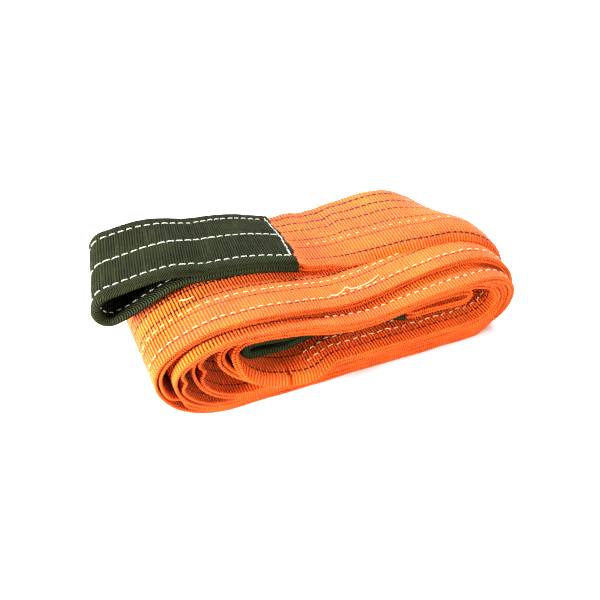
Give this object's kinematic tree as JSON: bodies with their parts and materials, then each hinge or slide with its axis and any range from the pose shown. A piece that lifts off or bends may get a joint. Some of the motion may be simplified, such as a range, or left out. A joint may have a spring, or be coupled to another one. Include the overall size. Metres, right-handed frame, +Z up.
{
  "type": "duplex flat webbing sling",
  "caption": "Two-ply flat webbing lifting sling with a sleeved loop eye at each end, rolled into a flattened coil with one eye on top.",
  "frame": {"origin": "middle of the outline, at the flat underside of the coil", "axes": "+X along the coil, away from the outer eye; +Y across the strap, away from the side where the inner turns stick out; +Z up"},
  "size_m": [0.3752, 0.164, 0.1137],
  "materials": {
    "orange_webbing": "cross-ribbed polyester webbing, matt with a soft sheen",
    "olive_sleeve": "dark olive ribbed wear sleeve, matt",
    "white_thread": "heavy white polyester sewing thread"
  },
  "bodies": {
    "coil": {"webbing_outer_ply": "orange_webbing", "webbing_inner_ply_long": "orange_webbing", "webbing_inner_ply_short": "orange_webbing", "body_seam_near": "white_thread", "body_seam_second": "white_thread", "body_seam_turn_two": "white_thread", "body_seam_inside_near": "white_thread", "body_seam_inside_second": "white_thread", "inner_eye_webbing": "orange_webbing", "inner_eye_sleeve": "olive_sleeve", "inner_eye_seam_near": "white_thread", "inner_eye_seam_middle": "white_thread", "inner_eye_seam_far": "white_thread", "inner_eye_bartack": "white_thread"},
    "outer_eye": {"outer_eye_webbing": "orange_webbing", "outer_eye_sleeve": "olive_sleeve", "outer_eye_seam_near": "white_thread", "outer_eye_seam_middle": "white_thread", "outer_eye_seam_far": "white_thread", "outer_eye_bartack": "white_thread"}
  },
  "joints": [
    {"name": "outer_eye_lift", "type": "hinge", "parent": "coil", "child": "outer_eye", "pos_m": [-0.00121, 0.03101, 0.08745], "axis": [0, 1, 0], "range_deg": [0, 90]}
  ]
}
